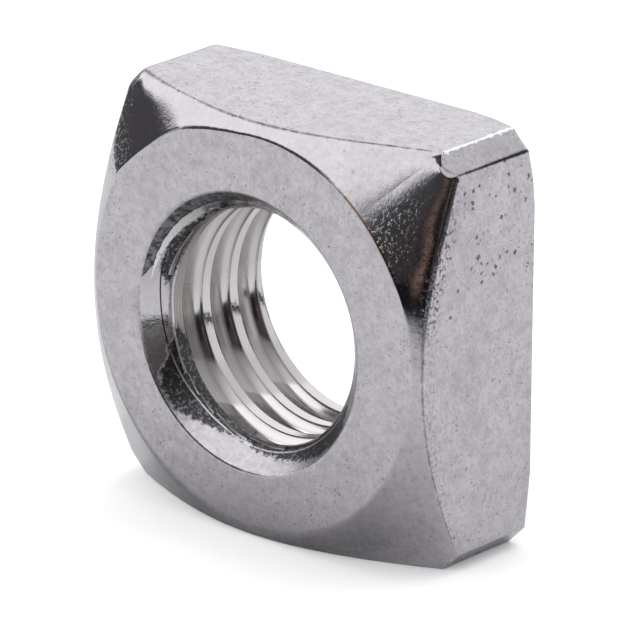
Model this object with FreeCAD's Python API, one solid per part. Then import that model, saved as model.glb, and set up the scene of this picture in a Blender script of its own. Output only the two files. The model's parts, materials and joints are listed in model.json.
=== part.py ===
import FreeCAD, Part
import math
import os

# Square nut standing on one of its flats.
# X runs across the width, Y along the bore and Z up.
# The chamfered face looks along -Y and the plain bearing face along +Y.
# All sizes are in millimetres and degrees.

across_flats = 15.7
thickness = 6.25
corner_break = 0.7

# Cone turned on the front face. It leaves a round disc, short of the flats by the margin.
face_margin = 0.275
face_chamfer_deg = 36.0

# Shallow cone that takes only the four corners of the bearing face.
back_overhang = 1.35
back_chamfer_deg = 17.0

# Tapped hole, M10 x 1.5, right-handed and a little loose.
pitch = 1.5
major_d = 10.16
thread_depth = 0.68
root_flat = 0.22
flank_deg = 30.0

# Countersinks: the front one opens past the roots, the back one only part of the way.
front_sink_over_root = 0.17
back_sink_over_crest = 0.43
sink_half_deg = 45.0

# The hole sits a little off the middle of the square.
bore_shift_x = -0.3
bore_shift_z = -0.15

# Depth below the front face at which a groove crosses the -X side of the bore.
groove_depth_left = 2.05

# Rounding of the turned edges and of the bearing face's rim.
edge_round = 0.12
back_round = 0.25

half_width = across_flats / 2
front_y = -thickness / 2
back_y = thickness / 2
face_r = half_width - face_margin
back_r = half_width + back_overhang
major_r = major_d / 2
minor_r = major_r - thread_depth
centre = FreeCAD.Vector(0, 0, 0)
along = FreeCAD.Vector(0, 1, 0)


def revolved(profile, angle):
    # profile points are (radius, y) and turn about the Y axis
    points = [FreeCAD.Vector(r, y, 0) for r, y in profile]
    wire = Part.makePolygon(points + [points[0]])
    return Part.Face(wire).revolve(centre, along, angle)


def bar_block():
    # bar section with its four long corners broken, as long as the nut is thick
    h = half_width
    c = h - corner_break
    outline = [(c, -h), (h, -c), (h, c), (c, h), (-c, h), (-h, c), (-h, -c), (-c, -h)]
    points = [FreeCAD.Vector(x, front_y, z) for x, z in outline]
    wire = Part.makePolygon(points + [points[0]])
    return Part.Face(wire).extrude(FreeCAD.Vector(0, thickness, 0))


def turned_envelope():
    # round blank with the cones of both faces, which trims the block's corners
    reach = half_width * math.sqrt(2)
    front_rise = (reach - face_r) * math.tan(math.radians(face_chamfer_deg))
    back_rise = (reach - back_r) * math.tan(math.radians(back_chamfer_deg))
    return revolved([
        (0, front_y),
        (face_r, front_y),
        (reach, front_y + front_rise),
        (reach, back_y - back_rise),
        (back_r, back_y),
        (0, back_y),
    ], 360)


def lies_on_back(edge):
    ends = [edge.valueAt(edge.FirstParameter), edge.valueAt(edge.LastParameter)]
    return all(abs(p.y - back_y) < 0.001 for p in ends)


def rounded_blank():
    # the solid nut before its hole, with its edges worked down
    blank = bar_block().common(turned_envelope())
    rim = [e for e in blank.Edges if lies_on_back(e)]
    blank = blank.makeFillet(back_round, rim)
    rest = [e for e in blank.Edges if e.BoundBox.YMax < back_y - 2 * back_round]
    return blank.makeFillet(edge_round, rest)


def bore_halves():
    # plain hole at the crests' diameter with its countersinks, in two half turns
    over = 1.0
    slope = 1 / math.tan(math.radians(sink_half_deg))
    front_r = major_r + front_sink_over_root
    back_mouth_r = minor_r + back_sink_over_crest
    half = revolved([
        (0, front_y - over),
        (front_r + over / slope, front_y - over),
        (minor_r, front_y + (front_r - minor_r) * slope),
        (minor_r, back_y - (back_mouth_r - minor_r) * slope),
        (back_mouth_r + over / slope, back_y + over),
        (0, back_y + over),
    ], 180)
    other = half.copy()
    other.rotate(centre, along, 180)
    return [half, other]


def thread_turns():
    # one turn of the groove, repeated along the bore and clear of both faces
    inner_r = minor_r - 0.25
    root_half = root_flat / 2
    mouth_half = root_half + (major_r - inner_r) * math.tan(math.radians(flank_deg))
    section = Part.makePolygon([
        FreeCAD.Vector(inner_r, 0, -mouth_half),
        FreeCAD.Vector(major_r, 0, -root_half),
        FreeCAD.Vector(major_r, 0, root_half),
        FreeCAD.Vector(inner_r, 0, mouth_half),
        FreeCAD.Vector(inner_r, 0, -mouth_half),
    ])
    helix = Part.makeHelix(pitch, pitch, inner_r)
    turn = Part.Wire(helix.Edges).makePipeShell([section], True, True)
    # local Z becomes +Y, so the helix passes the -X side half a turn on
    turn.rotate(centre, FreeCAD.Vector(1, 0, 0), -90)
    start = front_y + groove_depth_left - 2.5 * pitch
    turns = []
    for number in range(math.ceil(thickness / pitch) + 3):
        copy = turn.copy()
        copy.translate(FreeCAD.Vector(0, start + number * pitch, 0))
        turns.append(copy)
    return turns


nut = rounded_blank()
shift = FreeCAD.Vector(bore_shift_x, 0, bore_shift_z)
for cutter in bore_halves() + thread_turns():
    cutter.translate(shift)
    nut = nut.cut(cutter)
nut.translate(FreeCAD.Vector(0, 0, half_width))
nut = nut.Solids[0]
print("valid", nut.isValid(), "faces", len(nut.Faces), "volume", round(nut.Volume, 2))

os.makedirs("parts", exist_ok=True)
nut.exportStep("parts/square_nut.step")
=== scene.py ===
import json
import math

import bpy
import numpy as np
from mathutils import Matrix, Vector

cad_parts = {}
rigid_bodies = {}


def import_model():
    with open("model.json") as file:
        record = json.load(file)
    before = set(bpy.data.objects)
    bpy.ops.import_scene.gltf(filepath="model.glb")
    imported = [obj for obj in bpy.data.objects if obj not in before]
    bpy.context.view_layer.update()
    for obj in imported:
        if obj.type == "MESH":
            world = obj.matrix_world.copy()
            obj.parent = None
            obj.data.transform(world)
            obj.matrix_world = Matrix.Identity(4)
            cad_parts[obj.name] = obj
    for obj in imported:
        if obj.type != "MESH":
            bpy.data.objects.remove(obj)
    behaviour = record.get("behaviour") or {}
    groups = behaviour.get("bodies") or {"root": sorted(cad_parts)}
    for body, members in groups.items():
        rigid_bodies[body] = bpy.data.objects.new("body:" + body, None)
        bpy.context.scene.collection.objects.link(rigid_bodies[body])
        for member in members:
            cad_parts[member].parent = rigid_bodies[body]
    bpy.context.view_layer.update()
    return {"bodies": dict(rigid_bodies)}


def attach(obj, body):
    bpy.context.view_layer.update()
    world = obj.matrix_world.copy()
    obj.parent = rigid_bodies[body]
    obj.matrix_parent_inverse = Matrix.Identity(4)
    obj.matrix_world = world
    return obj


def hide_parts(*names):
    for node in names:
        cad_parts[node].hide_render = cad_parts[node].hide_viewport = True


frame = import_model()
mm = 0.001
print("frame loaded")

# Shape of the nut, in millimetres and degrees. The square's middle is (0, 0) here, and the front face looks
# along -Y.
nut = {
    "acrossFlats": 15.7,
    "thickness": 6.25,
    "cornerBreak": 0.7,
    # the eight long edges, from the lower left and counter-clockwise
    "longEdgeRound": (0.12, 0.12, 0.12, 0.12, 0.07, 0.07, 0.45, 0.45),
    "faceRadius": 7.575,
    "faceChamfer": 36.0,
    "faceEdgeRound": 0.13,
    "coneEdgeRound": 0.14,
    "backRadius": 9.3,
    "backChamfer": 12.0,
    "backRound": 0.3,
    "rimBreak": 0.06,
    "rimRound": 0.12,
    "boreX": -0.3,
    "boreZ": -0.15,
    "frontSink": 5.25,
    "backSink": 4.83,
    "mouthRound": 0.08,
    "backMouth": 5.3,
    # the face's edge wanders off its circle: angle round the face and radius
    "faceEdge": ((-180, 7.55), (-90, 7.55), (0, 7.5), (20, 7.47), (37, 7.43), (60, 7.42), (80, 7.36),
                 (95, 7.31), (102, 7.38), (110, 7.53), (117, 7.69), (130, 7.71), (139, 7.82), (145, 7.93),
                 (155, 7.75), (180, 7.55)),
    # hills along the edges: angle round the face, half width and amount
    "softFaceEdge": ((-100, 85, 0.5),),  # the face's edge is rounder, or sharper below 0
    "softEdge": ((150, 36, 0.5), (45, 6, -0.11), (22, 24, 0.1)),  # the cone's outer edge, the same
    "proud": ((45, 12, 0.2), (150, 40, 0.15)),  # the cone's outer edge stands further forward
    "rimCorner": ((45, 9, 0.4),),  # the back rim is rounder
    "crown": ((30, 50, 0.4), (150, 45, 0.3), (-120, 180, 0.1)),  # the cone bends down before its outer edge
    "crownReach": 0.5,
    "nose": ((45.2, 3.6, 0.45),),  # knob at the end of the upper right corner
    "noseReach": 0.16,
}

# How the nut's skin is divided.
skin = {
    "step": 0.13,  # spacing of the columns of points
    "support": 0.035,  # rows this close to a rounding keep the flats flat
    "backRows": 8,
    "rimRows": 3,
    "sideRows": 22,
    "coneRows": 20,
    "faceRows": 16,
    # two more rings in the countersink's mouth: past its edge, behind the face, share of the dark line
    "mouthRows": ((0.01, 0.012, 1), (-0.03, 0.04, 0.5)),
    # rings of the wall closer to a face than the first number move to the second
    "wallFront": (0.1, 0.08),
    "wallBack": (0.06, 0.04),
    # the wall's last two rings: in front of the back face, and wider than the countersink by
    "wallEnd": ((0.012, 0.012), (0.0, 0.04)),
}

# Wear and lines along the edges, as hills again. The shares are one for each ring of points across an edge.
worn = {
    "dents": ((145, 14, 0.6), (122, 18, 0.05)),  # on the whole cone
    "faceSideDents": ((36, 16, 0.5),),  # on the cone towards the face
    "raggedEdge": ((24, 24, 1.0), (48, 6, 0.15), (-20, 42, 0.3)),  # along the cone's outer edge
    "raggedReach": 0.25,
    "raggedSideRows": 2,
    # duller parts of the cone, the first as angles with their amounts
    "pressed": ((-180, 0), (-175, 0), (-165, 1), (10, 1), (24, 0), (180, 0)),
    "satin": ((54, 34, 0.65),),
    # dark notch at the upper right corner, with its distance from the cone's outer edge and its width
    "notch": ((47, 2.6, 1.6),),
    "notchPlace": 0.18,
    "notchWidth": 0.13,
    "darkFaceEdge": ((88, 54, 1.6),),
    "brownFaceEdge": ((42, 30, 1.3),),
    "darkTopEdge": ((92, 76, 1.5),),
    "topLineStart": (47, 3),  # begins at this angle and is whole this much further on
    "darkSideEdge": ((-18, 50, 0.9),),
    "darkMouthEdge": ((-120, 75, 1.3),),
    "topLineMost": 0.68,
    "sideLineMost": 0.62,
    "coneEdgeShares": (0, 0.3, 0.8, 1, 1, 0.8),
    "faceEdgeShares": (0.9, 1, 1, 1, 0.7),
    "besideFaceEdge": 0.75,
    "faceEdgeDents": 0.3,
    "topLineBrown": 0.35,
    # the long edges with a dark line and with a white burr, and the share left on the columns beside them
    "bandEdge": 4,
    # the burr on this edge is drawn near-white, a painted highlight of the edge's glint
    "burrGlintEdge": 5,
    "besideLongEdge": 0.6,
    # the dark line's strength at the back, its loss on each ring and its strength at the cone
    "bandLine": (1.1, 0.018, 0.6),
}

# Marks in the front countersink: tables of the angle round the bore and the depth behind the face.
sink = {
    "line": ((-180, 0.61), (-157, 0.65), (-142, 0.69), (-129, 0.74), (-113, 0.75), (-95, 0.7), (-80, 0.68),
             (90, 0.6), (154, 0.55), (165, 0.55), (180, 0.61)),
    # the countersink's bright crescent lies between the next two tables; its pale colour is a painted
    # highlight
    "crescentOuter": ((90, 0.44), (119, 0.44), (129, 0.42), (138, 0.38), (149, 0.35), (158, 0.33), (180, 0.32)),
    "crescentInner": ((60, 0.4), (90, 0.55), (104, 0.62), (117, 0.66), (130, 0.67), (140, 0.6), (149, 0.53),
                   (155, 0.48), (162, 0.42), (168, 0.36), (172, 0.32), (180, 0.26)),
    "tornOuter": ((-180, 0.95), (-172, 0.85), (-163, 0.68), (-155, 0.55), (-149, 0.2), (-143, 0.05),
                  (-137, 0.03), (-131, 0.15), (-122, 0.4), (-114, 0.6), (-104, 0.74), (-95, 0.72),
                  (-82, 0.58), (-60, 0.3), (-47, 0.08), (-20, 0)),
    # stretches round the bore, as angle and half width, and how far a mark draws back outside its own
    "scuffed": (128, 58),
    "scuffedFade": 0.5,
    "tornAbove": (138, 46),
    "tornBelow": (-95, 95),
    "tornFade": 0.8,
    # behind or in front of the first groove's seam
    "tornPastSeam": 0.55,
    "tornBeforeSeam": 0.47,
    "crestFromSeam": 0.75,
    "crestHalf": 0.26,
}

# Thread M10 x 1.5, in metres as the modifier takes it.
thread = {
    "Pitch": 0.0015,
    "Crest Radius": 0.0044,
    "Root Radius": 0.00508,
    "Root Flat": 0.00022,
    "Flank Angle": math.radians(30),
    "Groove Start": -0.001075,  # groove's middle at the -X side
    "Edge Softness": 0.00009,
    "Axis X": nut["boreX"] * mm,
    "Axis Z": (nut["boreZ"] + nut["acrossFlats"] / 2) * mm,
    "Face Depth": nut["thickness"] / 2 * mm,
    "Front Sink": nut["frontSink"] * mm,
    "Back Sink": nut["backSink"] * mm,
    "Closed At": 0.00086,  # the first groove is pressed shut where it lies this near the face
    "Open At": 0.0011,
    "Sink Softness": 0.00004,
    "Merge Distance": 0.0000005,
    "Dent Depth": 0.00003,
    "Dent Scale": 2600.0,
    "Seed": 3.0,
}


def roundCorner(before, corner, after, radius, steps):
    # rounds one corner of many lines at once: steps + 1 points for each line
    toBefore = before - corner
    toAfter = after - corner
    reach = np.minimum(np.linalg.norm(toBefore, axis=-1), np.linalg.norm(toAfter, axis=-1))
    toBefore = toBefore / np.linalg.norm(toBefore, axis=-1, keepdims=True)
    toAfter = toAfter / np.linalg.norm(toAfter, axis=-1, keepdims=True)
    inside = np.arccos(np.clip((toBefore * toAfter).sum(-1), -0.99999, 0.99999))
    tangent = np.minimum(radius / np.tan(inside / 2), reach * 0.45)
    radius = tangent * np.tan(inside / 2)
    middle = toBefore + toAfter
    middle = middle / np.linalg.norm(middle, axis=-1, keepdims=True)
    centre = corner + middle * (radius / np.sin(inside / 2))[..., None]
    first = corner + toBefore * tangent[..., None] - centre
    last = corner + toAfter * tangent[..., None] - centre
    turn = math.pi - inside
    points = []
    for share in np.linspace(0, 1, steps + 1):
        a = np.sin((1 - share) * turn) / np.sin(turn)
        b = np.sin(share * turn) / np.sin(turn)
        points.append(centre + first * a[..., None] + last * b[..., None])
    return points


def between(start, end, count):
    # points inside a straight run, the outer two close to its ends
    length = np.linalg.norm(end - start, axis=-1)
    edge = np.minimum(skin["support"] / length, 0.3)
    shares = [edge + (1 - 2 * edge) * s for s in np.linspace(0, 1, count)]
    return [start + (end - start) * s[..., None] for s in shares]


def bump(angles, place, halfWidth):
    # smooth hill of height 1 round one angle, in degrees
    away = np.abs((angles - place + 180) % 360 - 180) / halfWidth
    return np.where(away < 1, 0.5 + 0.5 * np.cos(math.pi * np.minimum(away, 1)), 0)


def hills(angles, places):
    return sum(amount * bump(angles, place, width) for place, width, amount in places)


def fromTable(angles, table):
    return np.interp(angles, *zip(*table))


def barColumns():
    # the bar's section as columns of points, in the order of their angle round the bore
    half = nut["acrossFlats"] / 2
    inner = half - nut["cornerBreak"]
    corners = [(-half, -inner), (-inner, -half), (inner, -half), (half, -inner),
               (half, inner), (inner, half), (-inner, half), (-half, inner)]
    corners = [np.array([c]) for c in corners]
    arcs = []
    for i, corner in enumerate(corners):
        arcs.append(roundCorner(corners[i - 1], corner, corners[(i + 1) % 8], nut["longEdgeRound"][i], 4))
    points = []
    longEdge = []
    for i, arc in enumerate(arcs):
        points += arc
        following = arcs[(i + 1) % 8][0]
        count = max(5, round(np.linalg.norm(following - arc[-1]) / skin["step"]))
        points += between(arc[-1], following, count)
        longEdge += [i] * len(arc) + [-1] * count
    points = np.concatenate(points)
    angles = np.arctan2(points[:, 1] - nut["boreZ"], points[:, 0] - nut["boreX"])
    order = np.argsort(angles)
    points = points[order]
    return {
        "angles": angles[order],
        "outer": np.hypot(points[:, 0] - nut["boreX"], points[:, 1] - nut["boreZ"]),
        "turned": np.degrees(np.arctan2(points[:, 1], points[:, 0])),  # angle round the square's middle
        "fromMiddle": np.hypot(points[:, 0], points[:, 1]),
        "longEdge": np.array(longEdge)[order],
    }


def circleReach(angles, radius):
    # distance from the bore's axis to a circle round the square's middle
    alongRay = nut["boreX"] * np.cos(angles) + nut["boreZ"] * np.sin(angles)
    offset = nut["boreX"] ** 2 + nut["boreZ"] ** 2
    return -alongRay + np.sqrt(alongRay ** 2 - offset + radius ** 2)


def sinkMarks(angles, depth):
    # how far each point of the wall lies inside the countersink's marks, in millimetres
    around = np.degrees(angles)
    crescentOuter = fromTable(around, sink["crescentOuter"])
    crescentInner = fromTable(around, sink["crescentInner"])
    outsideScuff = 1 - np.minimum(bump(around, *sink["scuffed"]) * 3, 1)
    climb = thread["Pitch"] / mm * (180 - around) / 360
    seam = nut["thickness"] / 2 + (thread["Groove Start"] - thread["Pitch"]) / mm + climb
    above = np.minimum(depth - crescentInner - 0.02, seam + sink["tornPastSeam"] - depth)
    above = above - sink["tornFade"] * (1 - bump(around, *sink["tornAbove"])) ** 4
    below = np.minimum(depth - fromTable(around, sink["tornOuter"]), seam - sink["tornBeforeSeam"] - depth)
    below = below - sink["tornFade"] * (1 - np.minimum(bump(around, *sink["tornBelow"]) * 4, 1))
    crest = np.where(around > 0, seam + sink["crestFromSeam"], seam - sink["crestFromSeam"])
    return {
        # the crescent, whose pale colour is a painted highlight
        "crescentHighlight": np.minimum(depth - crescentOuter, crescentInner - depth),
        "scuffed": crescentOuter - depth - sink["scuffedFade"] * outsideScuff,
        "torn": np.where(around > 0, above, below),
        "sinkLine": depth - fromTable(around, sink["line"]),
        "firstCrest": sink["crestHalf"] - np.abs(depth - crest),
    }


def threadRows():
    # heights of the wall's rows within one pitch, closest at the edges of crest and root
    half = [0.0, 0.09, 0.14, 0.26, 0.38, 0.46, 0.51, 0.56, 0.65]
    pitch = thread["Pitch"] / mm
    rows = half + [pitch / 2] + [pitch - h for h in half[:0:-1]]
    return np.array(rows)


def ringAt(bar, reach, depth):
    # one ring of points: distances from the bore's axis and places along it
    columns = len(bar["angles"])
    return np.stack([np.broadcast_to(value, columns) for value in (reach, depth)], -1).astype(float)


def ring(points, cone=0, wear=0, darkLine=0, brownLine=0, burrGlint=0):
    # a ring of points with its marks, each a number or one for every column
    marks = {"cone": cone, "wear": wear, "darkLine": darkLine, "brownLine": brownLine, "burrGlint": burrGlint}
    return points, {name: np.broadcast_to(value, len(points)) for name, value in marks.items()}


def wallRings(bar):
    # the wall's rings climb with the thread, one pitch in a whole turn, and stop at the two mouths
    front = -nut["thickness"] / 2
    back = nut["thickness"] / 2
    pitch = thread["Pitch"] / mm
    crest = thread["Crest Radius"] / mm
    grooveStart = thread["Groove Start"] / mm
    climb = pitch * (math.pi - bar["angles"]) / (2 * math.pi)
    first = math.floor((front - grooveStart) / pitch) - 2
    turns = math.ceil(nut["thickness"] / pitch) + 4
    rings = []
    for turn in range(first, first + turns):
        for height in threadRows():
            depth = grooveStart + climb + turn * pitch + height
            for face, side, (near, moved) in ((front, 1, skin["wallFront"]), (back, -1, skin["wallBack"])):
                depth = np.where((depth - face) * side < near, face + side * moved, depth)
            rings.append(ringAt(bar, crest, depth))
    ends = [ringAt(bar, crest, back - before) for before, wider in skin["wallEnd"]]
    return rings, ends


def edgeArcs(bar):
    # the edges that run round the nut, each rounded into an arc of rings
    turned = bar["turned"]
    front = -nut["thickness"] / 2
    back = nut["thickness"] / 2
    coneDrop = (bar["fromMiddle"] - nut["faceRadius"]) * math.tan(math.radians(nut["faceChamfer"]))
    coneDrop = coneDrop - hills(turned, nut["proud"])
    backRise = (bar["fromMiddle"] - nut["backRadius"]) * math.tan(math.radians(nut["backChamfer"]))
    backRise = np.maximum(backRise, nut["rimBreak"])
    backReach = np.minimum(circleReach(bar["angles"], nut["backRadius"]), bar["outer"] - nut["rimBreak"])
    faceReach = circleReach(bar["angles"], fromTable(turned, nut["faceEdge"]))
    mouth = ringAt(bar, nut["frontSink"] + nut["mouthRound"], front)
    faceEdge = ringAt(bar, faceReach, front)
    coneEdge = ringAt(bar, bar["outer"], front + coneDrop)
    rim = ringAt(bar, bar["outer"], back - backRise)
    backEdge = ringAt(bar, backReach, back)
    backMouth = ringAt(bar, nut["backMouth"], back)

    backRound = np.full(len(turned), nut["backRound"])
    rimRound = nut["rimRound"] + hills(turned, nut["rimCorner"])
    coneRound = nut["coneEdgeRound"] + hills(turned, nut["softEdge"])
    faceRound = nut["faceEdgeRound"] + hills(turned, nut["softFaceEdge"])
    return {
        "backMouth": backMouth,
        "back": roundCorner(backMouth, backEdge, rim, backRound, 3),
        "rim": roundCorner(backEdge, rim, coneEdge, rimRound, 4),
        "cone": roundCorner(rim, coneEdge, faceEdge, coneRound, len(worn["coneEdgeShares"]) - 1),
        "coneWidth": bar["outer"] - faceReach,
        "face": roundCorner(coneEdge, faceEdge, mouth, faceRound, len(worn["faceEdgeShares"]) - 1),
        "mouth": mouth,
    }


def wornPlaces(bar):
    # how strong each dent and line is, column by column
    turned = bar["turned"]

    def alongEdge(edge):
        # 1 on the columns of a long edge, less on those beside it
        on = (bar["longEdge"] == edge).astype(float)
        return np.maximum(on, worn["besideLongEdge"] * np.maximum(np.roll(on, 1), np.roll(on, -1)))

    lineStart, fadeIn = worn["topLineStart"]
    topLine = np.minimum(hills(turned, worn["darkTopEdge"]), worn["topLineMost"])
    return {
        "dented": hills(turned, worn["dents"]),
        "ragged": hills(turned, worn["raggedEdge"]),
        "facing": hills(turned, worn["faceSideDents"]),
        "notch": hills(turned, worn["notch"]),
        "topLine": topLine * np.clip((turned - lineStart) / fadeIn, 0, 1),
        "sideLine": np.minimum(hills(turned, worn["darkSideEdge"]), worn["sideLineMost"]),
        "faceLine": np.minimum(hills(turned, worn["darkFaceEdge"]), 1),
        "brownLine": np.minimum(hills(turned, worn["brownFaceEdge"]), 1),
        "mouthLine": np.minimum(hills(turned, worn["darkMouthEdge"]), 1),
        "bandLine": alongEdge(worn["bandEdge"]),
        "burrGlintLine": alongEdge(worn["burrGlintEdge"]),
    }


def sideRings(arcs, on, nose):
    # the four flats with their long edges, and the cone's outer edge
    bandBack, bandLoss, bandCone = worn["bandLine"]
    rim = between(arcs["back"][-1], arcs["rim"][0], skin["rimRows"]) + arcs["rim"]
    rings = [ring(p, darkLine=on["bandLine"], burrGlint=on["burrGlintLine"]) for p in rim]
    coneEdge = [p - nose for p in arcs["cone"]]
    for i, p in enumerate(between(arcs["rim"][-1], coneEdge[0], skin["sideRows"])):
        nearCone = i >= skin["sideRows"] - worn["raggedSideRows"]
        line = on["bandLine"] * (bandBack - bandLoss * i)
        rings.append(ring(p, wear=on["ragged"] * nearCone, darkLine=line, burrGlint=on["burrGlintLine"]))
    for p, share in zip(coneEdge, worn["coneEdgeShares"]):
        line = np.maximum(share * np.maximum(on["topLine"], on["sideLine"]), on["bandLine"] * bandCone)
        brown = np.maximum(on["topLine"] * worn["topLineBrown"], on["sideLine"])
        rings.append(ring(p, wear=on["ragged"], darkLine=line, brownLine=brown))
    return rings


def coneRings(bar, arcs, on, nose):
    # the cone, a little proud of a straight one and most of it near its outer edge, and the face's edge
    crown = hills(bar["turned"], nut["crown"]) * nut["crownReach"]
    fullRise = 1 - np.exp(-arcs["coneWidth"] / nut["crownReach"])
    rings = []
    for p in between(arcs["cone"][-1], arcs["face"][0], skin["coneRows"]):
        fromEdge = bar["outer"] - p[:, 0]
        share = fromEdge / arcs["coneWidth"]
        p[:, 1] -= crown * (1 - np.exp(-fromEdge / nut["crownReach"]) - share * fullRise)
        p[:, 1] -= nose[:, 1] * np.exp(-fromEdge / nut["noseReach"])
        dents = np.maximum(on["dented"], on["facing"] * share ** 0.5)
        dents = np.maximum(dents, on["ragged"] * np.exp(-fromEdge / worn["raggedReach"]))
        line = on["notch"] * np.exp(-((fromEdge - worn["notchPlace"]) / worn["notchWidth"]) ** 2)
        rings.append(ring(p, cone=1, wear=dents, darkLine=line))
    line = on["faceLine"] * worn["besideFaceEdge"]
    rings[-1] = ring(p, cone=1, wear=dents, darkLine=line, brownLine=on["brownLine"])
    dents = on["dented"] * worn["faceEdgeDents"]
    for p, share in zip(arcs["face"], worn["faceEdgeShares"]):
        line = share * np.maximum(on["faceLine"], on["brownLine"])
        rings.append(ring(p, cone=1, wear=dents, darkLine=line, brownLine=on["brownLine"]))
    return rings


def outerRings(bar):
    # rings from the back mouth over the back, the sides, the cone and the face to the front mouth
    arcs = edgeArcs(bar)
    on = wornPlaces(bar)
    nose = ringAt(bar, 0, hills(bar["turned"], nut["nose"]))
    back = between(arcs["backMouth"], arcs["back"][0], skin["backRows"])
    face = between(arcs["face"][-1], arcs["mouth"], skin["faceRows"])
    rings = [ring(p) for p in [arcs["backMouth"]] + back + arcs["back"]]
    rings += sideRings(arcs, on, nose) + coneRings(bar, arcs, on, nose)
    rings += [ring(p) for p in face + [arcs["mouth"]]]
    for past, behind, share in skin["mouthRows"]:
        p = ringAt(bar, nut["frontSink"] + past, behind - nut["thickness"] / 2)
        rings.append(ring(p, darkLine=share * on["mouthLine"]))
    return rings


def skinFaces(total, columns, climbing):
    # faces between neighbouring rings, and across the seam where the columns end
    row, column = np.meshgrid(np.arange(total), np.arange(columns - 1), indexing="ij")
    a = row * columns + column
    b = ((row + 1) % total) * columns + column
    faces = [np.stack([a, a + 1, b + 1, b], -1).reshape(-1, 4)]
    last = columns - 1
    onePitch = len(threadRows())  # the wall's rings meet those one pitch on
    low = np.arange(climbing - 1 - onePitch)
    high = low + onePitch
    faces.append(np.stack([high * columns + last, low * columns,
                           (low + 1) * columns, (high + 1) * columns + last], -1))
    low = np.arange(climbing - 1, total)
    high = (low + 1) % total
    faces.append(np.stack([low * columns + last, low * columns, high * columns, high * columns + last], -1))
    return np.concatenate(faces)


def makeBlank():
    # one closed skin of rings round the bore, with the marks that the finishes read
    bar = barColumns()
    angles = bar["angles"]
    columns = len(angles)
    wall, ends = wallRings(bar)
    rings = outerRings(bar)
    profile = np.array(wall + ends + [points for points, marks in rings])
    total = len(profile)
    x = nut["boreX"] + profile[..., 0] * np.cos(angles)
    z = nut["boreZ"] + profile[..., 0] * np.sin(angles) + nut["acrossFlats"] / 2
    points = np.stack([x, profile[..., 1], z], -1).reshape(-1, 3) * mm
    mesh = bpy.data.meshes.new("squareNut")
    mesh.from_pydata(points.tolist(), [], skinFaces(total, columns, len(wall)).tolist())

    inWall = len(wall) + len(ends)
    wider = [0.0] * len(wall) + [wider for before, wider in skin["wallEnd"]] + [0.0] * len(rings)
    values = {"wall": np.repeat(np.arange(total) < inWall, columns), "lift": np.repeat(wider, columns) * mm}
    for name in rings[0][1]:
        values[name] = np.concatenate([np.zeros(inWall * columns)] + [marks[name] for points, marks in rings])
    pressed = fromTable(bar["turned"], worn["pressed"]) + hills(bar["turned"], worn["satin"])
    values["pressed"] = np.tile(pressed, total)
    fromFront = profile[:inWall, :, 1] + nut["thickness"] / 2
    for name, inside in sinkMarks(np.broadcast_to(angles, fromFront.shape), fromFront).items():
        values[name] = np.concatenate([inside.ravel(), np.full(len(rings) * columns, -1.0)])
    for name, value in values.items():
        mesh.attributes.new(name, "FLOAT", "POINT").data.foreach_set("value", value.astype(np.float32))
    mesh.shade_smooth()
    blank = bpy.data.objects.new("squareNut", mesh)
    bpy.context.scene.collection.objects.link(blank)
    return blank


def addNode(tree, kind, **settings):
    made = tree.nodes.new(kind)
    for name, value in settings.items():
        setattr(made, name, value)
    return made


def plug(tree, socket, value):
    # a value is a number, a colour or another node's output
    if isinstance(value, bpy.types.NodeSocket):
        tree.links.new(value, socket)
    else:
        socket.default_value = value


def calc(tree, operation, *values):
    made = addNode(tree, "ShaderNodeMath", operation=operation)
    for socket, value in zip(made.inputs, values):
        plug(tree, socket, value)
    return made.outputs[0]


def times(tree, first, second):
    return calc(tree, "MULTIPLY", first, second)


def most(tree, first, *others):
    for other in others:
        first = calc(tree, "MAXIMUM", first, other)
    return first


def remap(tree, value, low, high, toLow=0.0, toHigh=1.0):
    made = addNode(tree, "ShaderNodeMapRange", interpolation_type="SMOOTHSTEP")
    for socket, given in zip(made.inputs[:5], (value, low, high, toLow, toHigh)):
        plug(tree, socket, given)
    return made.outputs[0]


def vectorCalc(tree, operation, *values):
    made = addNode(tree, "ShaderNodeVectorMath", operation=operation)
    for socket, value in zip(made.inputs, values):
        plug(tree, socket, value)
    return made.outputs["Vector"]


def scaled(tree, vector, amount):
    made = addNode(tree, "ShaderNodeVectorMath", operation="SCALE")
    plug(tree, made.inputs[0], vector)
    plug(tree, made.inputs["Scale"], amount)
    return made.outputs["Vector"]


def splitPlace(tree, place):
    # a place's X, Y and Z
    made = addNode(tree, "ShaderNodeSeparateXYZ")
    plug(tree, made.inputs[0], place)
    return made.outputs


def attribute(tree, name):
    made = addNode(tree, "GeometryNodeInputNamedAttribute", data_type="FLOAT")
    made.inputs["Name"].default_value = name
    return made.outputs["Attribute"]


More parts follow.
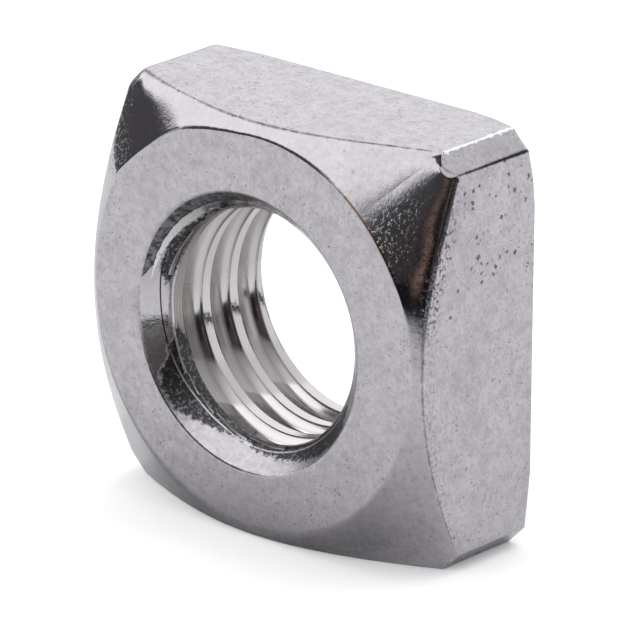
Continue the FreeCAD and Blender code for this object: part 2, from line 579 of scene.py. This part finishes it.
def threadTree():
    # cuts the thread and both countersinks into the wall, then dents the worn places
    tree = bpy.data.node_groups.new("cutThread", "GeometryNodeTree")
    tree.interface.new_socket("Geometry", in_out="INPUT", socket_type="NodeSocketGeometry")
    for name, value in thread.items():
        socket = tree.interface.new_socket(name, in_out="INPUT", socket_type="NodeSocketFloat")
        socket.default_value = value
    for name in ("Forged", "Turned", "Cut"):
        tree.interface.new_socket(name, in_out="INPUT", socket_type="NodeSocketMaterial")
    tree.interface.new_socket("Geometry", in_out="OUTPUT", socket_type="NodeSocketGeometry")
    size = addNode(tree, "NodeGroupInput").outputs

    place = addNode(tree, "GeometryNodeInputPosition").outputs[0]
    spot = splitPlace(tree, place)
    x = calc(tree, "SUBTRACT", spot["X"], size["Axis X"])
    z = calc(tree, "SUBTRACT", spot["Z"], size["Axis Z"])
    angle = calc(tree, "ARCTAN2", z, x)

    # distance from the nearest groove's middle
    aroundShare = calc(tree, "DIVIDE", calc(tree, "SUBTRACT", math.pi, angle), 2 * math.pi)
    climb = times(tree, aroundShare, size["Pitch"])
    above = calc(tree, "SUBTRACT", calc(tree, "SUBTRACT", spot["Y"], size["Groove Start"]), climb)
    # half a turn more centres it on the groove, and ten whole ones keep it above 0
    turns = calc(tree, "ADD", calc(tree, "DIVIDE", above, size["Pitch"]), 10.5)
    beside = times(tree, calc(tree, "SUBTRACT", calc(tree, "FRACT", turns), 0.5), size["Pitch"])
    away = calc(tree, "ABSOLUTE", beside)

    flank = calc(tree, "SUBTRACT", away, times(tree, size["Root Flat"], 0.5))
    flank = calc(tree, "DIVIDE", flank, calc(tree, "TANGENT", size["Flank Angle"]))
    radius = calc(tree, "SUBTRACT", size["Root Radius"], flank)
    radius = calc(tree, "SMOOTH_MIN", radius, size["Root Radius"], size["Edge Softness"])
    radius = calc(tree, "SMOOTH_MAX", radius, size["Crest Radius"], size["Edge Softness"])
    fromFront = calc(tree, "ADD", spot["Y"], size["Face Depth"])
    fromBack = calc(tree, "SUBTRACT", size["Face Depth"], spot["Y"])

    # the first groove closes to a seam in the front countersink
    opening = remap(tree, calc(tree, "SUBTRACT", fromFront, beside), size["Closed At"], size["Open At"])
    depth = calc(tree, "SUBTRACT", radius, size["Crest Radius"])
    radius = calc(tree, "MULTIPLY_ADD", depth, opening, size["Crest Radius"])
    sunk = most(tree, calc(tree, "SUBTRACT", size["Front Sink"], fromFront),
                calc(tree, "SUBTRACT", size["Back Sink"], fromBack))
    inSink = calc(tree, "GREATER_THAN", calc(tree, "ADD", sunk, 0.00001), radius)
    radius = calc(tree, "SMOOTH_MAX", radius, sunk, size["Sink Softness"])
    radius = calc(tree, "ADD", radius, attribute(tree, "lift"))

    cut = addNode(tree, "ShaderNodeCombineXYZ")
    across = times(tree, radius, calc(tree, "COSINE", angle))
    upward = times(tree, radius, calc(tree, "SINE", angle))
    plug(tree, cut.inputs["X"], calc(tree, "ADD", size["Axis X"], across))
    plug(tree, cut.inputs["Y"], spot["Y"])
    plug(tree, cut.inputs["Z"], calc(tree, "ADD", size["Axis Z"], upward))
    isCut = times(tree, attribute(tree, "wall"), calc(tree, "SUBTRACT", 1.0, inSink))
    isTurned = most(tree, attribute(tree, "cone"), times(tree, attribute(tree, "wall"), inSink))
    kept = size["Geometry"]
    for name, value in (("besideGroove", away), ("isCut", isCut), ("isTurned", isTurned)):
        store = addNode(tree, "GeometryNodeStoreNamedAttribute", data_type="FLOAT", domain="POINT")
        plug(tree, store.inputs["Geometry"], kept)
        store.inputs["Name"].default_value = name
        plug(tree, store.inputs["Value"], value)
        kept = store.outputs[0]
    setWall = addNode(tree, "GeometryNodeSetPosition")
    plug(tree, setWall.inputs["Geometry"], kept)
    plug(tree, setWall.inputs["Selection"], calc(tree, "GREATER_THAN", attribute(tree, "wall"), 0.5))
    plug(tree, setWall.inputs["Position"], cut.outputs[0])
    joined = addNode(tree, "GeometryNodeMergeByDistance")
    plug(tree, joined.inputs["Geometry"], setWall.outputs[0])
    plug(tree, joined.inputs["Distance"], size["Merge Distance"])

    # dents
    noise = addNode(tree, "ShaderNodeTexNoise", noise_dimensions="4D")
    plug(tree, noise.inputs["Vector"], place)
    plug(tree, noise.inputs["W"], size["Seed"])
    plug(tree, noise.inputs["Scale"], size["Dent Scale"])
    noise.inputs["Detail"].default_value = 3
    depth = times(tree, calc(tree, "SUBTRACT", noise.outputs[0], 0.5), size["Dent Depth"])
    depth = times(tree, depth, attribute(tree, "wear"))
    dented = addNode(tree, "GeometryNodeSetPosition")
    plug(tree, dented.inputs["Geometry"], joined.outputs[0])
    outward = addNode(tree, "GeometryNodeInputNormal").outputs[0]
    plug(tree, dented.inputs["Offset"], scaled(tree, outward, depth))

    realize = addNode(tree, "GeometryNodeRealizeInstances")
    plug(tree, realize.inputs[0], dented.outputs[0])
    kept = realize.outputs[0]
    for name, where in (("Forged", None), ("Turned", "isTurned"), ("Cut", "isCut")):
        finish = addNode(tree, "GeometryNodeSetMaterial")
        plug(tree, finish.inputs["Geometry"], kept)
        plug(tree, finish.inputs["Material"], size[name])
        if where:
            plug(tree, finish.inputs["Selection"], calc(tree, "GREATER_THAN", attribute(tree, where), 0.5))
        kept = finish.outputs[0]
    plug(tree, addNode(tree, "NodeGroupOutput").inputs[0], kept)
    return tree


def madePlain(piece, tree, inputs):
    # runs a tree on the piece and keeps the result as its mesh
    modifier = piece.modifiers.new(tree.name, "NODES")
    modifier.node_group = tree
    for item in tree.interface.items_tree:
        if item.item_type == "SOCKET" and item.in_out == "INPUT" and item.name in inputs:
            modifier[item.identifier] = inputs[item.name]
    bpy.context.view_layer.update()
    evaluated = piece.evaluated_get(bpy.context.evaluated_depsgraph_get())
    result = bpy.data.meshes.new_from_object(evaluated)
    piece.modifiers.clear()
    piece.data = result
    return piece


# Finishes of the steel, with heights and distances in metres.
steel = {
    "forgedColour": (0.58, 0.56, 0.6, 1),
    "forgedDark": (0.31, 0.295, 0.32, 1),
    "turnedColour": (0.55, 0.535, 0.56, 1),
    "cutColour": (0.63, 0.61, 0.61, 1),
    "pitColour": (0.085, 0.08, 0.085, 1),
    "lineColour": (0.035, 0.032, 0.036, 1),
    "brownColour": (0.20, 0.12, 0.085, 1),
    # painted highlight: the burr's near-white glint
    "burrGlintColour": (0.95, 0.95, 0.95, 1),
    "tornColour": (0.05, 0.048, 0.052, 1),
    "fleckColour": (0.3, 0.29, 0.3, 1),
    "scuffColour": (0.28, 0.27, 0.28, 1),
    # painted highlight: the pale crescent in the countersink
    "crescentHighlightColour": (0.8, 0.79, 0.81, 1),
    # painted light: near-white groove bottoms, brighter than the steel, where the bore's light leaves them
    # dark; less so in the upper bore
    "brightenedRootColour": (0.97, 0.955, 0.95, 1),
    "rootDull": (0.68, 0.67, 0.68, 1),
    "crestColour": (0.27, 0.25, 0.235, 1),
    # noises: waves per metre, detail and roughness
    "pitBendNoise": (7000, 2, 0.5),
    "ragNoise": (5200, 3, 0.65),
    "tornNoise": (4200, 6, 0.85),
    "fleckNoise": (7500, 5, 0.8),
    "chipNoise": (6500, 3, 0.6),
    "dustNoise": (8500, 3, 0.7),
    "burrGlintNoise": (3600, 4, 0.7),
    "wobbleNoise": (4500, 3, 0.65),
    "scuffNoise": (4200, 4, 0.7),
    "flakeNoise": (8000, 3, 0.6),
    "dentNoise": (5200, 3, 0.6),
    "chatterNoise": (5200, 2, 0.5),
    "threadLines": (14000, 3),  # without the roughness
    # from nothing to full: places across the nut and heights over the floor
    "rightFlat": (0.00776, 0.00782),
    "pittedPart": (0.0085, 0.012),
    "brightSeam": (0.0062, 0.0052),
    "lowSink": (0.0078, 0.0068),
    "upperBore": (0.0062, 0.0082),
    "dullBelow": (0.0056, 0.0048),
    "dullAbove": (0.0036, 0.0039),
    # from nothing to full, away from the groove's middle
    "pastRoot": (0.00018, 0.0004),
    "onCrest": (0.00047, 0.00054),
    # how deep a bump of 1 is
    "forgedBump": 0.000006,
    "turnedBump": 0.000012,
    "cutBump": 0.000005,
}


def groupOf(name, inputs, outputs):
    # an empty shader group with its sockets: vectors have no value, colours have four
    tree = bpy.data.node_groups.new(name, "ShaderNodeTree")
    for label, value in inputs.items():
        kind = "Vector" if value is None else "Color" if isinstance(value, tuple) else "Float"
        socket = tree.interface.new_socket(label, in_out="INPUT", socket_type="NodeSocket" + kind)
        if value is not None:
            socket.default_value = value
    for label, kind in outputs.items():
        tree.interface.new_socket(label, in_out="OUTPUT", socket_type="NodeSocket" + kind)
    return tree, addNode(tree, "NodeGroupInput").outputs, addNode(tree, "NodeGroupOutput").inputs


def noiseAt(tree, place, scale, detail, roughness):
    noise = addNode(tree, "ShaderNodeTexNoise")
    for name, value in (("Vector", place), ("Scale", scale), ("Detail", detail), ("Roughness", roughness)):
        plug(tree, noise.inputs[name], value)
    return noise.outputs[0]


def mixColour(tree, share, first, second):
    made = addNode(tree, "ShaderNodeMix", data_type="RGBA")
    plug(tree, made.inputs[0], share)
    plug(tree, made.inputs[6], first)
    plug(tree, made.inputs[7], second)
    return made.outputs[2]


def mottleGroup():
    # cloudy stain and fine grain of a pressed surface
    tree, given, out = groupOf(
        "pressedMottle",
        {"Position": None, "Cloud Scale": 700.0, "Grain Scale": 6500.0},
        {"Stain": "Float", "Height": "Float"},
    )
    cloud = noiseAt(tree, given["Position"], given["Cloud Scale"], 5, 0.7)
    grain = noiseAt(tree, given["Position"], given["Grain Scale"], 6, 0.8)
    blotch = noiseAt(tree, given["Position"], times(tree, given["Cloud Scale"], 3.2), 4, 0.65)
    stain = times(tree, remap(tree, cloud, 0.3, 0.75), 0.25)
    stain = calc(tree, "ADD", stain, times(tree, remap(tree, blotch, 0.35, 0.7), 0.3))
    plug(tree, out["Stain"], calc(tree, "MULTIPLY_ADD", remap(tree, grain, 0.3, 0.8), 0.55, stain))
    plug(tree, out["Height"], calc(tree, "ADD", times(tree, cloud, 0.5), times(tree, grain, 0.5)))
    return tree


def pitGroup():
    # small irregular pits, gathered where a wider noise is high
    tree, given, out = groupOf(
        "scatteredPits",
        {"Position": None, "Scale": 3200.0, "Gathering": 260.0, "Amount": 0.5, "Size": 0.2, "Bend": 0.00022},
        {"Pits": "Float"},
    )
    bend = noiseAt(tree, given["Position"], *steel["pitBendNoise"]).node.outputs["Color"]
    bend = scaled(tree, vectorCalc(tree, "SUBTRACT", bend, (0.5, 0.5, 0.5)), given["Bend"])
    cells = addNode(tree, "ShaderNodeTexVoronoi")
    plug(tree, cells.inputs["Vector"], vectorCalc(tree, "ADD", given["Position"], bend))
    plug(tree, cells.inputs["Scale"], given["Scale"])
    chosen = addNode(tree, "ShaderNodeSeparateColor")
    plug(tree, chosen.inputs[0], cells.outputs["Color"])
    gathered = remap(tree, noiseAt(tree, given["Position"], given["Gathering"], 2, 0.5), 0.42, 0.68)
    present = calc(tree, "LESS_THAN", chosen.outputs[0], times(tree, gathered, given["Amount"]))
    radius = times(tree, given["Size"], calc(tree, "ADD", 0.5, chosen.outputs[1]))
    inside = remap(tree, cells.outputs["Distance"], radius, times(tree, radius, 0.6))
    plug(tree, out["Pits"], times(tree, inside, present))
    return tree


def edgeLineGroup():
    # ragged dark or brown lines along edges, laid over a colour
    tree, given, out = groupOf(
        "edgeLines",
        {"Position": None, "Colour": (0.5, 0.5, 0.5, 1), "Dark": 0.0, "Brown": 0.0},
        {"Colour": "Color"},
    )
    rag = noiseAt(tree, given["Position"], *steel["ragNoise"])
    line = remap(tree, calc(tree, "MULTIPLY_ADD", rag, 0.6, given["Dark"]), 0.65, 1.2)
    lineColour = mixColour(tree, given["Brown"], steel["lineColour"], steel["brownColour"])
    plug(tree, out["Colour"], mixColour(tree, line, given["Colour"], lineColour))
    return tree


def tornGroup():
    # how torn the metal is, from how far it lies inside the torn place, and the light flecks in it
    tree, given, out = groupOf(
        "tornMetal",
        {"Position": None, "Inside": -1.0},
        {"Torn": "Float", "Flecks": "Float"},
    )
    ragged = calc(tree, "SUBTRACT", noiseAt(tree, given["Position"], *steel["tornNoise"]), 0.5)
    torn = remap(tree, calc(tree, "MULTIPLY_ADD", ragged, 0.9, given["Inside"]), -0.03, 0.06)
    flecks = remap(tree, noiseAt(tree, given["Position"], *steel["fleckNoise"]), 0.5, 0.66)
    plug(tree, out["Torn"], torn)
    plug(tree, out["Flecks"], times(tree, torn, flecks))
    return tree


mottle = mottleGroup()
pits = pitGroup()
edgeLines = edgeLineGroup()
tornMetal = tornGroup()


def placeGroup(tree, group, **values):
    made = addNode(tree, "ShaderNodeGroup", node_tree=group)
    for name, value in values.items():
        plug(tree, made.inputs[name.replace("_", " ")], value)
    return made.outputs


def metal(name):
    material = bpy.data.materials.new(name)
    material.use_nodes = True
    tree = material.node_tree
    shader = tree.nodes["Principled BSDF"]
    shader.inputs["Metallic"].default_value = 1
    return material, tree, shader, addNode(tree, "ShaderNodeTexCoord").outputs["Object"]


def bumped(tree, shader, height, distance):
    made = addNode(tree, "ShaderNodeBump")
    made.inputs["Distance"].default_value = distance
    plug(tree, made.inputs["Height"], height)
    plug(tree, shader.inputs["Normal"], made.outputs[0])


def readMark(tree, name):
    return addNode(tree, "ShaderNodeAttribute", attribute_name=name).outputs["Fac"]


def withEdgeLines(tree, place, colour):
    return placeGroup(tree, edgeLines, Position=place, Colour=colour, Dark=readMark(tree, "darkLine"),
                      Brown=readMark(tree, "brownLine"))["Colour"]


def forgedSteel():
    material, tree, shader, place = metal("forgedSteel")
    grain = placeGroup(tree, mottle, Position=place)
    # larger pits on the upper part of the right flat
    spot = splitPlace(tree, place)
    onFlat = remap(tree, spot["X"], *steel["rightFlat"])
    pitted = times(tree, onFlat, remap(tree, spot["Z"], *steel["pittedPart"]))
    large = placeGroup(tree, pits, Position=place, Scale=3000, Gathering=1100,
                       Amount=times(tree, pitted, 2.8), Size=0.27)["Pits"]
    specks = placeGroup(tree, pits, Position=place, Scale=5600, Gathering=420, Amount=0.8, Size=0.2)["Pits"]
    dust = remap(tree, noiseAt(tree, place, *steel["dustNoise"]), 0.57, 0.72, 0, 0.3)
    chips = remap(tree, noiseAt(tree, place, *steel["chipNoise"]), 0.5, 0.6)
    chips = times(tree, chips, readMark(tree, "wear"))
    holes = most(tree, times(tree, specks, 0.7), dust, times(tree, large, 0.85), chips)
    colour = mixColour(tree, times(tree, grain["Stain"], 0.9), steel["forgedColour"], steel["forgedDark"])
    colour = withEdgeLines(tree, place, mixColour(tree, holes, colour, steel["pitColour"]))
    # the burr is a near-white line, a painted highlight where the edge catches the light
    burrGlint = calc(tree, "MULTIPLY_ADD", noiseAt(tree, place, *steel["burrGlintNoise"]), 2.4, readMark(tree, "burrGlint"))
    colour = mixColour(tree, remap(tree, burrGlint, 1.75, 2.0), colour, steel["burrGlintColour"])
    plug(tree, shader.inputs["Base Color"], colour)
    plug(tree, shader.inputs["Roughness"], remap(tree, grain["Stain"], 0, 1, 0.2, 0.36))
    height = calc(tree, "SUBTRACT", grain["Height"], times(tree, holes, 1.5))
    bumped(tree, shader, height, steel["forgedBump"])
    return material


def turnedSteel():
    material, tree, shader, place = metal("turnedSteel")
    grain = placeGroup(tree, mottle, Position=place, Cloud_Scale=900, Grain_Scale=5200)
    pressed = readMark(tree, "pressed")
    stain = times(tree, grain["Stain"], calc(tree, "MULTIPLY_ADD", pressed, 0.45, 0.45))
    colour = mixColour(tree, stain, steel["turnedColour"], steel["forgedDark"])
    specks = placeGroup(tree, pits, Position=place, Scale=5600, Gathering=420,
                        Amount=times(tree, pressed, 0.7), Size=0.2)["Pits"]
    colour = mixColour(tree, times(tree, specks, 0.55), colour, steel["pitColour"])

    # countersink: scuffed strip at the mouth, seam and torn metal, and a bright crescent with a dark edge
    spot = splitPlace(tree, place)
    wobble = times(tree, calc(tree, "SUBTRACT", noiseAt(tree, place, *steel["wobbleNoise"]), 0.5), 0.12)
    scuffed = remap(tree, calc(tree, "ADD", readMark(tree, "scuffed"), wobble), -0.01, 0.02)
    blotch = remap(tree, noiseAt(tree, place, *steel["scuffNoise"]), 0.35, 0.65)
    blotched = mixColour(tree, blotch, steel["scuffColour"], steel["tornColour"])
    colour = mixColour(tree, scuffed, colour, blotched)
    torn = placeGroup(tree, tornMetal, Position=place, Inside=readMark(tree, "torn"))
    colour = mixColour(tree, torn["Torn"], colour, steel["tornColour"])
    # painted highlight: the crescent gets a paler colour where the countersink reflects the light
    crescentHighlight = remap(tree, readMark(tree, "crescentHighlight"), -0.004, 0.008)
    seam = remap(tree, calc(tree, "ABSOLUTE", readMark(tree, "sinkLine")), 0.026, 0.012)
    bright = remap(tree, spot["Z"], *steel["brightSeam"])
    colour = mixColour(tree, times(tree, seam, calc(tree, "SUBTRACT", 1.0, crescentHighlight)), colour,
                       mixColour(tree, bright, steel["lineColour"], steel["turnedColour"]))
    colour = mixColour(tree, torn["Flecks"], colour, steel["fleckColour"])
    colour = mixColour(tree, crescentHighlight, colour, steel["crescentHighlightColour"])
    edge = times(tree, remap(tree, readMark(tree, "scuffed"), 0.06, 0.0), scuffed)
    colour = mixColour(tree, edge, colour, steel["tornColour"])
    plug(tree, shader.inputs["Base Color"], withEdgeLines(tree, place, colour))
    rags = most(tree, torn["Torn"], scuffed)
    rough = most(tree, remap(tree, grain["Stain"], 0, 1, 0.01, 0.05), times(tree, rags, 0.35),
                 times(tree, pressed, 0.27))
    plug(tree, shader.inputs["Roughness"], rough)

    # flecks in the worn places, rough metal in the lower part of the countersink
    flaked = remap(tree, noiseAt(tree, place, *steel["flakeNoise"]), 0.5, 0.75)
    flaked = times(tree, flaked, readMark(tree, "wear"))
    inSink = remap(tree, readMark(tree, "sinkLine"), -0.9, -0.8)
    low = times(tree, remap(tree, spot["Z"], *steel["lowSink"]), inSink)
    depth = most(tree, times(tree, rags, 1.6), times(tree, low, 0.35))
    dents = calc(tree, "MULTIPLY_ADD", noiseAt(tree, place, *steel["dentNoise"]), depth, flaked)
    fine = times(tree, grain["Height"], calc(tree, "MULTIPLY_ADD", pressed, 0.35, 0.26))
    bumped(tree, shader, calc(tree, "ADD", fine, dents), steel["turnedBump"])
    return material


def cutSteel():
    material, tree, shader, place = metal("cutSteel")
    spot = splitPlace(tree, place)
    beside = readMark(tree, "besideGroove")
    noise = addNode(tree, "ShaderNodeTexNoise", noise_dimensions="1D")
    for name, value in zip(("W", "Scale", "Detail"), (beside, *steel["threadLines"])):
        plug(tree, noise.inputs[name], value)
    lines = noise.outputs[0]
    # painted light: the groove bottoms are near-white so that they read bright, less so in the upper part of
    # the bore
    upper = remap(tree, spot["Z"], *steel["upperBore"])
    colour = mixColour(tree, upper, steel["brightenedRootColour"], steel["rootDull"])
    colour = mixColour(tree, remap(tree, beside, *steel["pastRoot"]), colour, steel["cutColour"])
    colour = mixColour(tree, remap(tree, lines, 0.45, 0.75, 0, 0.7), colour, steel["forgedDark"])
    firstCrest = remap(tree, readMark(tree, "firstCrest"), -0.02, 0.04)
    firstCrest = times(tree, firstCrest, remap(tree, lines, 0.3, 0.65, 0.5, 1))
    colour = mixColour(tree, firstCrest, colour, steel["crestColour"])
    torn = placeGroup(tree, tornMetal, Position=place, Inside=readMark(tree, "torn"))
    colour = mixColour(tree, torn["Torn"], colour, steel["tornColour"])
    plug(tree, shader.inputs["Base Color"], mixColour(tree, torn["Flecks"], colour, steel["fleckColour"]))
    rags = most(tree, torn["Torn"], firstCrest)
    dull = remap(tree, spot["Z"], *steel["dullBelow"])
    dull = times(tree, dull, remap(tree, spot["Z"], *steel["dullAbove"]))
    rough = most(tree, remap(tree, lines, 0.3, 0.7, 0.06, 0.16), times(tree, rags, 0.35),
                 times(tree, dull, 0.4), times(tree, upper, 0.3))
    plug(tree, shader.inputs["Roughness"], rough)

    # chatter marks on the crests, deeper on the first one and where the metal is torn
    depth = most(tree, times(tree, remap(tree, beside, *steel["onCrest"]), 1.2), times(tree, firstCrest, 2.5),
                 times(tree, torn["Torn"], 4.0))
    chatter = times(tree, noiseAt(tree, place, *steel["chatterNoise"]), depth)
    bumped(tree, shader, calc(tree, "ADD", times(tree, lines, 0.7), chatter), steel["cutBump"])
    return material


finishes = {"Forged": forgedSteel(), "Turned": turnedSteel(), "Cut": cutSteel()}
squareNut = madePlain(makeBlank(), threadTree(), {**thread, **finishes})
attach(squareNut, list(frame["bodies"])[0])
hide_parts("square_nut")
print("nut made,", len(squareNut.data.vertices), "points,", [m.name for m in squareNut.data.materials])


# Studio: directions are (azimuth, elevation) in degrees as seen from the nut, distances in metres.
studio = {
    "floorSize": 4.0,
    "floorColour": (0.75, 0.75, 0.755),
    "floorColourForCamera": (0.93, 0.93, 0.935),
    "floorForCamera": 0.1,
    "floorForGloss": 0.0,
    "world": 0.6,
    "worldForFloor": 0.15,
    "lamp": {"azimuth": 150, "elevation": 72, "distance": 0.3, "size": 0.3, "power": 0.36},
    # what the steel sees of the shaded floor in front: share left at the nut, and how far it reaches
    "shade": {"size": 0.06, "height": 0.00002, "left": 0.48, "reach": 0.0035, "offset": -0.003,
              "front": (-0.001, -0.003)},
    # the cards' directions start from this height, and a card lies just over the floor where it meets it
    "cardCentre": 0.008,
    "cardFoot": 0.0003,
    "cardRows": 6,
    "room": {
        "distance": 0.3,
        "colour": (0.012, 0.012, 0.014),
        "bottom": ((-180, -1), (-20, -1), (10, -3.5), (25, -4.5), (36, -9.5), (62, -9.5), (80, -4), (100, -1),
                   (180, -1)),
        "top": ((-180, 4), (-125, 4), (-60, 4), (-8, 4), (-4, 8), (-2, 16), (0.8, 24), (2, 28.5), (6, 32.5),
                (12, 37), (18, 43), (25, 46), (35, 46), (60, 40), (76, 30), (85, 8), (100, 4), (180, 4)),
    },
    "left": {
        "distance": 0.29,
        "colour": (0.095, 0.092, 0.095),
        "bottom": ((-128, -4), (-70, -4)),
        "top": ((-128, 2), (-103, 4), (-96, 6.5), (-90, 9.3), (-86, 10.8), (-84, 11.8), (-82, 13.5),
                (-80, 16), (-77, 19), (-73, 22), (-70, 18)),
    },
    "brown": {
        "distance": 0.29,
        "colour": (0.16, 0.105, 0.085),
        "bottom": ((38, 2), (46, 4)),
        "top": ((38, 18), (46, 20)),
    },
    "brownPost": {
        "distance": 0.28,
        "colour": (0.25, 0.16, 0.13),
        "bottom": ((19, 4), (22, 5), (24, 6), (27, 10)),
        "top": ((19, 9), (22, 13), (23, 22), (27, 22)),
    },
    "grey": {
        "distance": 0.285,
        "colour": (0.05, 0.048, 0.05),
        "bottom": ((3, 8), (19, 8)),
        "top": ((3, 30), (19, 40)),
    },
    "leftFloor": {
        "distance": 0.3,
        "glow": 1.1,
        "bottom": ((-128, -35), (-86, -35)),
        "top": ((-128, -15), (-86, -15)),
    },
    "softboxes": (
        {"distance": 0.9, "glow": 1.45, "bottom": ((-127, 2), (60, 6)), "top": ((-127, 76), (60, 68))},
        {"distance": 0.9, "glow": 0.95, "bottom": ((126, 6), (182, 6)), "top": ((126, 60), (182, 60))},
        {"distance": 0.9, "glow": 1.25, "bottom": ((182, 6), (232, 6)), "top": ((182, 66), (232, 66))},
        {"distance": 0.9, "glow": 0.75, "bottom": ((72, 6), (125, 6)), "top": ((72, 60), (125, 60))},
    ),
}


def plainMaterial(name, colour, glow=0.0):
    material = bpy.data.materials.new(name)
    material.use_nodes = True
    shader = material.node_tree.nodes["Principled BSDF"]
    shader.inputs["Base Color"].default_value = (*colour, 1)
    shader.inputs["Roughness"].default_value = 0.9
    shader.inputs["Specular IOR Level"].default_value = 0
    shader.inputs["Emission Color"].default_value = (1, 1, 1, 1)
    shader.inputs["Emission Strength"].default_value = glow
    return material


def towards(turn, up):
    # unit vectors of directions in degrees
    turn, up = np.radians(turn), np.radians(up)
    return np.stack([np.sin(turn) * np.cos(up), -np.cos(turn) * np.cos(up), np.sin(up)], -1)


def addToStudio(name, points, faces, material):
    mesh = bpy.data.meshes.new(name)
    mesh.from_pydata(points, [], faces)
    mesh.materials.append(material)
    made = bpy.data.objects.new(name, mesh)
    bpy.context.scene.collection.objects.link(made)
    return made


def addCard(name, card, lightsFloor):
    # a curved card between two lines of directions, left out of what the camera sees
    start, end = card["bottom"][0][0], card["bottom"][-1][0]
    count = 1 + round(end - start)
    turns = np.linspace(start, end, count)
    low = fromTable(turns, card["bottom"])
    high = fromTable(turns, card["top"])
    toFloor = studio["cardCentre"] - studio["cardFoot"]
    points = []
    for share in np.linspace(0, 1, studio["cardRows"] + 1):
        up = low + (high - low) * share
        reach = np.minimum(card["distance"], toFloor / np.maximum(-np.sin(np.radians(up)), 0.001))
        points += (towards(turns, up) * reach[:, None] + [0, 0, studio["cardCentre"]]).tolist()
    faces = [(r * count + c, r * count + c + 1, (r + 1) * count + c + 1, (r + 1) * count + c)
             for r in range(studio["cardRows"]) for c in range(count - 1)]
    material = plainMaterial(name, card.get("colour", (0, 0, 0)), card.get("glow", 0))
    made = addToStudio(name, points, faces, material)
    made.visible_camera = False
    made.visible_diffuse = lightsFloor
    made.visible_shadow = False


def addSquare(name, size, height, material):
    half = size / 2
    corners = [(-half, -half, height), (half, -half, height), (half, half, height), (-half, half, height)]
    return addToStudio(name, corners, [(0, 1, 2, 3)], material)


for name in ("room", "left", "brown", "brownPost", "grey", "leftFloor"):
    addCard(name + "Card", studio[name], False)
for number, box in enumerate(studio["softboxes"]):
    addCard(f"softbox{number}", box, True)

# a broad lamp high at the back right gives the floor its soft shadow, and doesn't show in the steel
direction = Vector(towards(studio["lamp"]["azimuth"], studio["lamp"]["elevation"]))
lamp = bpy.data.objects.new("lamp", bpy.data.lights.new("lamp", "AREA"))
lamp.data.shape = "DISK"
lamp.data.size = studio["lamp"]["size"]
lamp.data.energy = studio["lamp"]["power"]
lamp.location = direction * studio["lamp"]["distance"]
lamp.rotation_euler = direction.to_track_quat("Z", "Y").to_euler()
lamp.visible_glossy = False
bpy.context.scene.collection.objects.link(lamp)

# painted shadow: a dark veil over the floor in front of the nut stands in for the nut's shadow there, for
# reflections only
shade = studio["shade"]
veilMaterial = plainMaterial("shadedFloor", (0, 0, 0))
tree = veilMaterial.node_tree
spot = splitPlace(tree, addNode(tree, "ShaderNodeTexCoord").outputs["Object"])
beyondX = calc(tree, "ABSOLUTE", calc(tree, "SUBTRACT", spot["X"], shade["offset"]))
beyondX = calc(tree, "SUBTRACT", beyondX, nut["acrossFlats"] / 2 * mm)
beyondY = calc(tree, "SUBTRACT", calc(tree, "ABSOLUTE", spot["Y"]), nut["thickness"] / 2 * mm)
away = most(tree, beyondX, beyondY, 0.0)
fade = calc(tree, "EXPONENT", calc(tree, "DIVIDE", away, -shade["reach"]))
fade = times(tree, fade, remap(tree, spot["Y"], *shade["front"]))
plug(tree, tree.nodes["Principled BSDF"].inputs["Alpha"], times(tree, fade, 1 - shade["left"]))
veil = addSquare("shadedFloor", shade["size"], shade["height"], veilMaterial)
veil.visible_camera = False
veil.visible_diffuse = False
veil.visible_shadow = False

floorMaterial = plainMaterial("floorWhite", studio["floorColour"])
addSquare("floor", studio["floorSize"], 0, floorMaterial)

# for the camera the floor is paler and glows a little, so that it is white and keeps its shadow
# reflections have a glow of their own, which is none for this steel
tree = floorMaterial.node_tree
shader = tree.nodes["Principled BSDF"]
path = addNode(tree, "ShaderNodeLightPath")
plug(tree, shader.inputs["Base Color"], mixColour(
    tree, path.outputs["Is Camera Ray"], (*studio["floorColour"], 1), (*studio["floorColourForCamera"], 1)))
glow = times(tree, path.outputs["Is Camera Ray"], studio["floorForCamera"])
glow = calc(tree, "MULTIPLY_ADD", path.outputs["Is Glossy Ray"], studio["floorForGloss"], glow)
plug(tree, shader.inputs["Emission Strength"], glow)

world = bpy.data.worlds.new("studio")
bpy.context.scene.world = world
world.use_nodes = True
background = world.node_tree.nodes["Background"]
background.inputs["Color"].default_value = (1, 1, 1, 1)
tree = world.node_tree
path = addNode(tree, "ShaderNodeLightPath")
forCamera = 1 - studio["world"]
forFloor = studio["worldForFloor"] - studio["world"]
strength = calc(tree, "MULTIPLY_ADD", path.outputs["Is Camera Ray"], forCamera, studio["world"])
strength = calc(tree, "MULTIPLY_ADD", path.outputs["Is Diffuse Ray"], forFloor, strength)
plug(tree, background.inputs["Strength"], strength)
print("studio set")

# Camera fitted to the photograph's edges.
view = {
    "eye": (0.159131, -0.182557, 0.094694),
    "azimuth": 41.0318,
    "elevation": 19.7688,
    "roll": 0.4145,
    "lens": 409.3,
}
backward = Vector(towards(view["azimuth"], view["elevation"]))
level = Vector(towards(view["azimuth"] + 90, 0))
upright = backward.cross(level)
roll = math.radians(view["roll"])
right = math.cos(roll) * level + math.sin(roll) * upright
upward = math.cos(roll) * upright - math.sin(roll) * level
camera = bpy.data.objects.new("camera", bpy.data.cameras.new("camera"))
turned = Matrix((right, upward, backward)).transposed().to_4x4()
camera.matrix_world = Matrix.Translation(view["eye"]) @ turned
camera.data.lens = view["lens"]
camera.data.sensor_width = 36
camera.data.clip_start = 0.01
camera.data.clip_end = 10
bpy.context.scene.collection.objects.link(camera)
bpy.context.scene.camera = camera
bpy.context.scene.view_settings.view_transform = "Standard"
